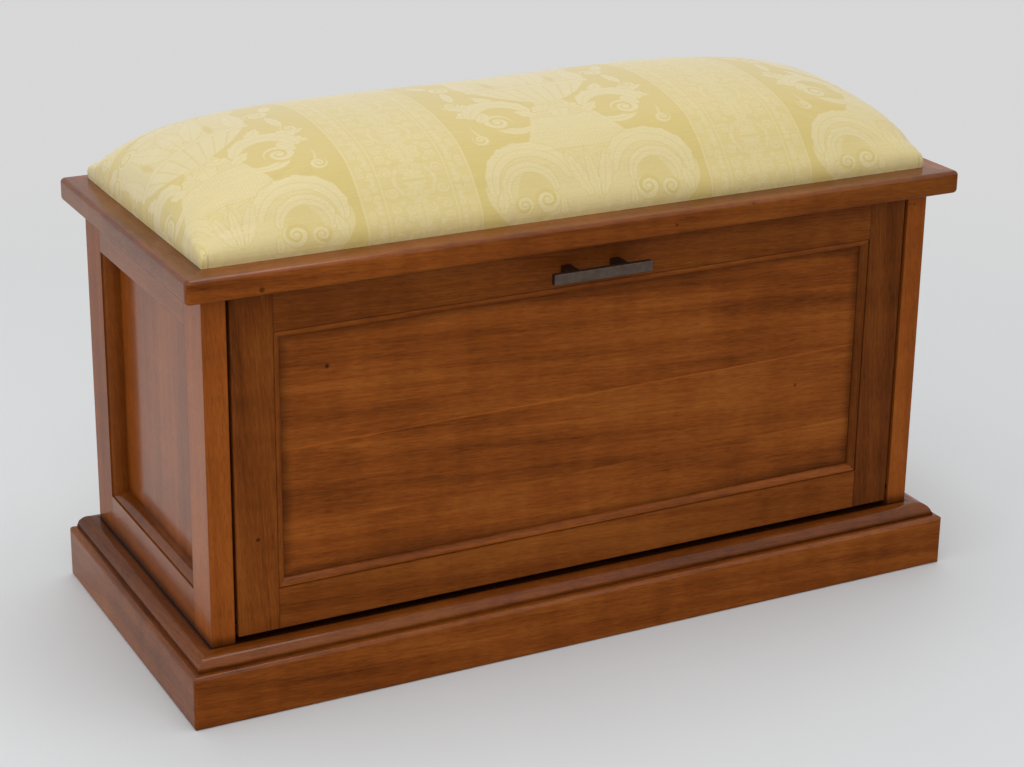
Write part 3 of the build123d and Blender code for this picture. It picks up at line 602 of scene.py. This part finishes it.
class Drawing:  # shapes on the cloth, each painted over those before it
    def __init__(self, s, x, y):
        self.s = s
        self.x = x
        self.y = y
        self.spot = s.make("ShaderNodeCombineXYZ", {0: x, 1: y})
        self.figure = None

    def paint(self, gap, edge, tone=None, clear=None):
        soft, margin = damask["soft"], damask["margin"]
        shape = gap.step(edge + soft, edge - soft)
        if tone is not None:
            shape = shape * tone
        if self.figure:
            bare, rim = clear or (gap, edge)
            keep = bare.step(rim - soft, rim + margin - soft, 0.0, damask["line"])
            keep = keep + bare.step(rim + margin, rim + margin + soft, 0.0, 1 - damask["line"])
            shape = self.s.math("MULTIPLY_ADD", self.figure, keep, shape)
        self.figure = shape

    def vector(self, operation, value):
        return self.s.make("ShaderNodeVectorMath", {0: self.spot, 1: value}, out="Value", operation=operation)

    def far(self, centre):
        return self.vector("DISTANCE", (*centre, 0))

    def turned(self, centre, turn, scale=1.0):  # lengths along a direction and to the left of it
        c, d = math.cos(math.radians(turn)), math.sin(math.radians(turn))
        x, y = centre
        along = self.vector("DOT_PRODUCT", (c / scale, d / scale, 0)) - (x * c + y * d) / scale
        return along, self.vector("DOT_PRODUCT", (-d, c, 0)) - (y * c - x * d)

    def profile(self, t, shape, width, count=28):  # a width that changes along a shape, with bare ends
        stops = [(i / (count - 1), (shape(i / (count - 1)),) * 3) for i in range(count)]
        return self.s.make("ShaderNodeValToRGB", {0: t}, stops=stops), -(width + 2)

    def arc(self, centre, radius, width, turn, sweep, lobes=0, hand=1, rise=0.3, fall=0.5):
        along, side = self.turned(centre, turn + hand * sweep / 2)
        angle = self.s.math("ARCTAN2", side, along)
        t = self.s.math("MULTIPLY_ADD", angle, hand / math.radians(sweep), 0.5)
        peak = rise / (rise + fall)
        top = peak ** rise * (1 - peak) ** fall
        body, scale = self.profile(t, lambda i: i ** rise * (1 - i) ** fall / top, width / 2)
        line = self.far(centre) - radius
        gap = self.s.math("MULTIPLY_ADD", body, scale, abs(line))
        if lobes:  # the outer side is cut into leaves
            frill, reach = self.profile(t, lambda i: i ** rise * (1 - i) ** fall / top * (
                0.45 + 0.55 * abs(math.sin(lobes * math.pi * i)) ** 0.7), width * 0.6, 32)
            gap = gap.low(self.s.math("MULTIPLY_ADD", frill, reach, line.high(0 - line * 3)))
        self.paint(gap, -2, abs(line).step(0.3, 1.1, 0.5, 1.0))

    def coil(self, centre, radius, turn, hand=1, growth=0.17, weight=0.54):  # winds in to an eye
        far = self.far(centre)
        angle = self.s.math("ARCTAN2", self.y - centre[1], self.x - centre[0])
        full = 2 * math.pi
        ratio = self.s.math("LOGARITHM", far / radius, math.e)
        wind = self.s.math("MULTIPLY_ADD", ratio, -1 / (full * growth), turn / 360)
        wind = self.s.math("MULTIPLY_ADD", angle, hand / full, wind)
        pitch = full * growth
        line = self.s.math("MULTIPLY_ADD", self.s.math("PINGPONG", wind, 0.5), pitch, -pitch * weight / 2)
        self.paint((line * far).high(far - radius).low(far - radius * 0.2), 0.0, None, (far, radius))

    def leaf(self, root, turn, length, width, lobes=4, tone=None):
        along, side = self.turned(root, turn, length)
        side = abs(side)
        edge, scale = self.profile(along, lambda i: math.sin(math.pi * i ** 0.75) * (
            0.74 + 0.26 * abs(math.sin(lobes * math.pi * i))), width)
        vein = side.step(0.2, 1.0, 0.5, 1.0) if tone is None else tone
        self.paint(self.s.math("MULTIPLY_ADD", edge, scale, side), -2, vein)

    def shell(self, centre, radius, ribs, turn=90.0):
        along, side = self.turned(centre, turn)
        rib = abs(self.s.math("COSINE", self.s.math("ARCTAN2", side, along) * ribs))
        gap = self.s.math("MULTIPLY_ADD", rib, -0.2 * radius, self.far(centre)).high(0.8 * radius - along)
        self.paint(gap, 0.8 * radius, rib.step(0.1, 0.5, 0.4, 1.0))

    def disc(self, centre, radius, hole=0.0):
        far = self.far(centre)
        if hole:
            self.paint(abs(far - (radius + hole) / 2), (radius - hole) / 2)
        else:
            self.paint(far, radius)

    def slab(self, low, high, shape, half, tone=None):  # stands on the middle line
        t = (self.y - low) / (high - low)
        edge, _ = self.profile(t, shape, half)
        gap = self.s.math("MULTIPLY_ADD", edge, -half, self.x)
        self.paint(gap.high(abs(self.y - (low + high) / 2) - (high - low) / 2), 0.0, tone)

    def bricks(self):
        row = self.s.math("SINE", self.y * 1.5)
        joint = self.s.math("SINE", self.s.math("MULTIPLY_ADD", row.step(-0.1, 0.1), math.pi, self.x * 0.75))
        return abs(row).low(abs(joint)).step(0.1, 0.45, 0.6, 1.0)

    def flutes(self, foot):
        return abs(self.s.math("SINE", self.x / (self.y - foot) * 22)).step(0.1, 0.45, 0.5, 1.0)


def urnFoot(s, across, up):  # half of the motif, doubled by a mirror at the band's middle
    d = Drawing(s, across, up)
    field = [116, 128, 136, 139, 138, 132, 122, 102, 70, 58, 53, 48, 44]
    d.slab(0, 154, lambda i: np.interp(i, np.linspace(0, 1, len(field)), field) / 140, 140, 0.72)
    d.slab(94, 154, lambda i: 1 - 0.45 * i ** 0.7, 78, d.bricks())  # foot of the urn
    d.leaf((78, 0), 90, 78, 30, 0, 0.35)
    d.arc((78, 50), 50, 21, -18, 200, 9, 1, 0.35, 0.3)  # arches
    d.arc((82, 42), 31, 13, -40, 236, 6, 1, 0.5, 0.4)
    d.coil((66, 26), 15, 200, -1)
    d.coil((96, 22), 11, 150)
    d.leaf((124, 12), 100, 40, 7, 4)
    d.leaf((46, 3), 90, 28, 5, 2)
    d.leaf((7, 20), 74, 78, 9, 6)
    d.leaf((0, 16), 90, 82, 7, 5)
    d.arc((20, 78), 8, 4, -30, 250)
    d.coil((120, 124), 10, 60)
    return d.figure


def urnBowl(s, across, up):
    d = Drawing(s, across, up)
    field = [44, 38, 30, 22, 18, 26, 48, 62, 72, 80, 84, 82, 80, 80, 82, 86, 84, 76, 60, 30, 0]
    d.slab(154, 392, lambda i: np.interp(i, np.linspace(0, 1, len(field)), field) / 90, 90, 0.72)
    d.arc((72, 150), 50, 3, -42, 58)
    d.arc((64, 160), 28, 14, 205, 150, 0, 1, 0.5, 0.2)  # handles
    d.coil((84, 157), 18, 260)
    d.leaf((92, 186), -62, 32, 11, 3)
    d.leaf((96, 193), -24, 38, 12, 4)
    d.leaf((92, 203), 12, 46, 12, 5)
    d.leaf((66, 205), 62, 42, 10, 4)
    d.arc((74, 170), 37, 22, 178, 178, 7, -1, 0.4, 0.35)
    d.coil((118, 219), 10, 200, -1)
    d.leaf((113, 226), 96, 54, 7, 5)
    d.coil((102, 287), 15, 250)
    d.leaf((116, 296), 70, 46, 8, 4)
    d.leaf((30, 160), 40, 34, 9, 3)  # stem of the urn
    d.disc((26, 147), 9, 4)
    d.leaf((0, 152), 90, 38, 14, 3)
    d.shell((16, 174), 16, 4, 80)
    d.slab(196, 258, lambda i: i ** 0.5, 78, d.flutes(120))  # bowl
    d.leaf((70, 250), 84, 92, 13, 7)  # flowers in the bowl
    d.leaf((14, 258), 74, 112, 15, 8)
    d.leaf((0, 258), 90, 104, 13, 7)
    d.leaf((40, 262), 84, 50, 6, 0, 0.0)
    d.slab(254, 262, lambda i: 1, 82)
    d.coil((44, 362), 17, 30)
    d.coil((86, 356), 13, 190, -1)
    d.leaf((60, 372), 20, 58, 10, 5)
    d.shell((0, 360), 30, 5)
    return d.figure


def laceBand(s, across, up):  # medallions in a chain, with a border of small leaves
    d = Drawing(s, across, s.math("PINGPONG", up + 12, 44))
    d.disc((0, 0), 27, 22)
    d.shell((0, 2), 14, 4)
    d.coil((9, 18), 7, 120)
    d.coil((31, 14), 8, 30, -1)
    d.leaf((2, 24), 70, 22, 5, 3)
    d.leaf((18, 26), 40, 20, 4, 2)
    d.coil((13, 38), 7, 220)
    d.coil((30, 36), 7, 320, -1)
    d.leaf((0, 44), -40, 18, 4, 2)
    e = Drawing(s, across, s.math("PINGPONG", up, 16))
    e.leaf((46, 1), 50, 19, 4, 2)
    e.coil((62, 5), 5, 90)
    e.disc((50, 13), 3.2)
    border = across.step(41.5, 42.5)
    lines = abs(abs(across - 55.75) - 13.75).step(1.2, 0.5)
    return s.math("MULTIPLY_ADD", e.figure, border, d.figure * (1 - border)).high(lines)


def damaskCloth():
    material, s, feed = newMaterial("damask", Sheen_Weight=0.40, Sheen_Roughness=0.5, Specular_IOR_Level=0.5)
    x, y, _ = s.place("UV")
    x = x * 1000 - damask["shift"]
    y = y * (1000 * damask["squash"])
    half = damask["repeat"] / 2
    across = abs(s.math("WRAP", x, half, -half))
    up = s.math("WRAP", y, damask["height"], 0.0)
    onUrn = across.step(damask["urnHalf"] + 0.6, damask["urnHalf"] - 0.6)
    foot = s.group("foot of the urn", urnFoot, across, up)
    urn = foot.high(s.group("bowl of the urn", urnBowl, across, up))
    lace = s.group("lace", laceBand, half - across, up) * damask["laceWeight"]
    relief = s.noise(x * 0.30, y * 0.42, 0.0, 2.0) - 0.5
    raised = (s.math("MULTIPLY_ADD", onUrn, urn - lace, lace) * (0.92 + relief * 0.7)).low(1.0)
    thread = s.noise(x * 0.06, y * 1.5, 0.0, 2.0) - 0.5
    slub = s.noise(x * 0.01, y * 0.42, 3.0, 2.0) - 0.5
    plain = s.mix(onUrn, (*damask["lace"], 1), (*damask["ground"], 1))
    colour = s.mix(raised, plain, (*damask["figure"], 1))
    shade = 1 + thread * 0.16 + slub * 0.12 + relief * 0.06
    away, _, height = s.place()
    # painted shade along the fold at each corner of the cloth
    fold = abs(abs(away) - (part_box("seat_cover")[1].x - cushion["pleatIn"])).step(*cushion["foldLine"])
    top, bottom = [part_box("top_front")[1].z + rise for rise in cushion["foldHeight"]]
    shade = shade * (1 - fold * height.step(top, bottom) * cushion["foldPaintedShade"])
    feed(Base_Color=s.mix(1.0, colour, shade.grey(), "MULTIPLY"), Roughness=0.62 - raised * 0.14,
         Normal=s.bump(thread + relief * 0.8, 0.2, 0.0006))
    return material


seat = seatCushion()
pullEdges(seat)
layCloth(seat)
seat.data.materials.clear()
seat.data.materials.append(damaskCloth())
seat.data.polygons.foreach_set("use_smooth", [True] * len(seat.data.polygons))
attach(seat, "carcass")
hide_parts("seat_cover", "seat_foam")
print("cushion done with", len(seat.data.polygons), "faces")

# Floor, light and camera
stage = {
    "size": 40.0,
    "floor": (0.715, 0.735, 0.745),
    "backdrop": 0.682,  # strength of the far floor and the world as the camera sees them
    "near": 0.8,
    "far": 2.1,
    "world": 0.70,
    "overhead": {"place": (0.1, 0.0, 3.1), "aim": (0, 0, 0.4), "size": (2.4, 1.3), "power": 23},
    "left": {"place": (-3.4, -0.6, 1.5), "aim": (0, 0, 0.3), "size": (2.2, 2.0), "power": 20},
    "front": {"place": (-1.6, -3.0, 2.2), "aim": (0, 0, 0.3), "size": (2.4, 2.0), "power": 22},
}


def pointedAt(place, aim):
    way = (Vector(aim) - Vector(place)).to_track_quat("-Z", "Y")
    return Matrix.Translation(place) @ way.to_matrix().to_4x4()


def softbox(name):
    lamp = bpy.data.lights.new(name, "AREA")
    lamp.shape = "RECTANGLE"
    lamp.size, lamp.size_y = stage[name]["size"]
    lamp.energy = stage[name]["power"]
    box = bpy.data.objects.new(name, lamp)
    box.matrix_world = pointedAt(stage[name]["place"], stage[name]["aim"])
    scene.collection.objects.link(box)


def paleFloor():
    form = bmesh.new()
    bmesh.ops.create_grid(form, x_segments=1, y_segments=1, size=stage["size"] / 2)
    mesh = bpy.data.meshes.new("floor")
    form.to_mesh(mesh)
    form.free()
    floor = bpy.data.objects.new("floor", mesh)
    scene.collection.objects.link(floor)
    material, s, feed = newMaterial("floor_paint", Roughness=0.6, Specular_IOR_Level=0.2)
    x, y, _ = s.place()
    tone = 1 + (s.noise(x * 3, y * 3, 0.0, 5.0) - 0.5) * 0.05
    feed(Base_Color=s.mix(1.0, (*stage["floor"], 1), tone.grey(), "MULTIPLY"))
    away = ((x * x + y * y) ** 0.5).step(stage["near"], stage["far"])
    backdrop = s.make("ShaderNodeEmission", {"Color": (1, 1, 1, 1), "Strength": stage["backdrop"]})
    paint = s.tree.nodes["Principled BSDF"].outputs[0]
    sockets = {0: away * seenAsBackdrop(s), 1: Signal(s.tree, paint), 2: backdrop}
    both = s.make("ShaderNodeMixShader", sockets)
    s.tree.links.new(both.socket, s.tree.nodes["Material Output"].inputs["Surface"])
    mesh.materials.append(material)


def seenAsBackdrop(s):
    camera, glossy, through = [s.make("ShaderNodeLightPath", out=f"Is {kind} Ray")
                               for kind in ("Camera", "Glossy", "Transmission")]
    return camera.high(glossy).high(through)


def paleWorld():
    world = bpy.data.worlds.new("studio")
    scene.world = world
    world.use_nodes = True
    s = Signal(world.node_tree)
    sky = world.node_tree.nodes["Background"]
    sky.inputs["Color"].default_value = (1, 1, 1, 1)
    strength = stage["world"] + seenAsBackdrop(s) * (stage["backdrop"] - stage["world"])
    world.node_tree.links.new(strength.socket, sky.inputs["Strength"])


camera = {
    "place": (-1.2825, -2.4520, 1.3121),
    "azimuth": -26.747,
    "elevation": 19.662,
    "roll": 0.449,
    "lens": 83.43,
    "shift": (0.0331, -0.0524),
}


def photoCamera():
    azimuth, elevation, roll = [math.radians(camera[key]) for key in ("azimuth", "elevation", "roll")]
    back = Vector((math.sin(azimuth) * math.cos(elevation), -math.cos(azimuth) * math.cos(elevation),
                   math.sin(elevation)))
    right = Vector((math.cos(azimuth), math.sin(azimuth), 0))
    upright = back.cross(right)
    columns = (math.cos(roll) * right + math.sin(roll) * upright,
               math.cos(roll) * upright - math.sin(roll) * right, back)
    lens = bpy.data.cameras.new("camera")
    lens.lens = camera["lens"]
    lens.shift_x, lens.shift_y = camera["shift"]
    eye = bpy.data.objects.new("camera", lens)
    eye.matrix_world = Matrix.Translation(camera["place"]) @ Matrix(columns).transposed().to_4x4()
    scene.collection.objects.link(eye)
    scene.camera = eye


paleFloor()
paleWorld()
for name in ("overhead", "left", "front"):
    softbox(name)
photoCamera()
print("stage done")
